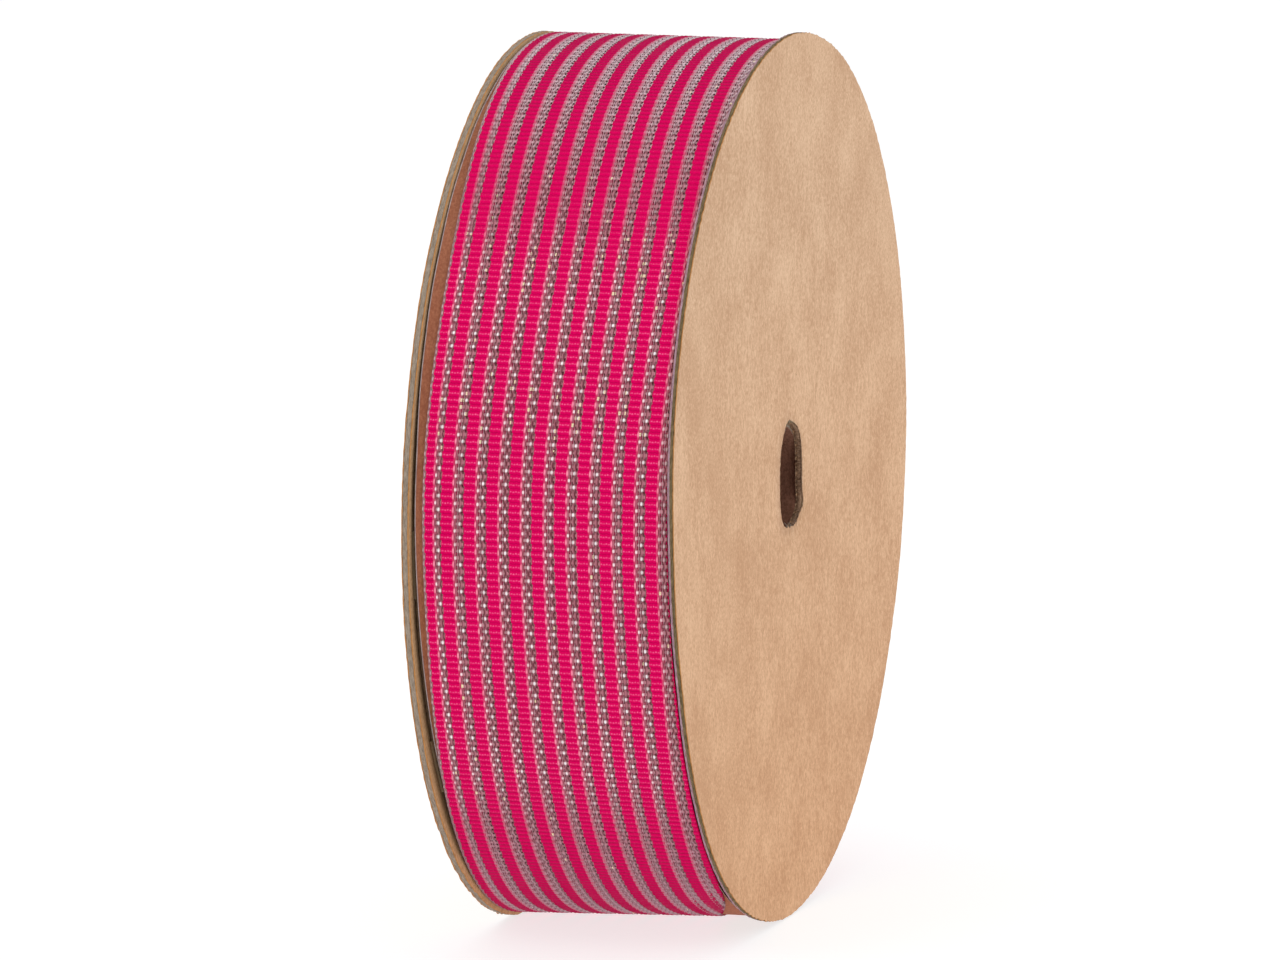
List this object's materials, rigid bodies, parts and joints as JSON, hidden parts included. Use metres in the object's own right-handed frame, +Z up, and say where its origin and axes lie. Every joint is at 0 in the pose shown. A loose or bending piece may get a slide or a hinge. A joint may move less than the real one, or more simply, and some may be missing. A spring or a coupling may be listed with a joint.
{
  "type": "ribbon spool",
  "caption": "Flat round card spool with two kraft-faced flanges on a wide drum, wound with striped ribbon whose taped end lifts; it turns on a rod through its centre.",
  "frame": {"origin": "centre of the arbor bore, halfway between the flanges' outer faces", "axes": "+Y along the arbor from the front flange to the rear flange, +Z up, standing on the two rims; the ribbon's loose end is on the +X side"},
  "size_m": [0.136, 0.0414, 0.1357],
  "materials": {
    "greyboard": "die-cut grey chipboard, matt and fibrous at its cut edges",
    "kraft_paper": "light tan kraft paper, matt, with fine fibres",
    "glue": "set hot-melt glue, waxy",
    "ribbon": "woven polyester, opaque pink stripes between sheer ones",
    "clear_tape": "clear adhesive tape, glossy"
  },
  "bodies": {
    "spool": {"front_flange_board": "greyboard", "front_outer_facing": "kraft_paper", "front_inner_facing": "kraft_paper", "rear_flange_board": "greyboard", "rear_outer_facing": "kraft_paper", "rear_inner_facing": "kraft_paper", "tube_inner_ply": "kraft_paper", "tube_middle_ply": "greyboard", "tube_outer_ply": "kraft_paper", "front_tube_glue": "glue", "rear_tube_glue": "glue", "drum_hoop": "greyboard", "drum_facing": "kraft_paper", "drum_seam_strip": "kraft_paper", "front_drum_glue": "glue", "rear_drum_glue": "glue", "ribbon_start_tape": "clear_tape", "ribbon_winding": "ribbon"},
    "loose_end": {"ribbon_tail": "ribbon", "tail_tape": "clear_tape"}
  },
  "joints": [
    {"name": "loose_end_lift", "type": "hinge", "parent": "spool", "child": "loose_end", "pos_m": [0.06104, 0, 0.02846], "axis": [0, -1, 0], "range_deg": [0, 75]}
  ]
}
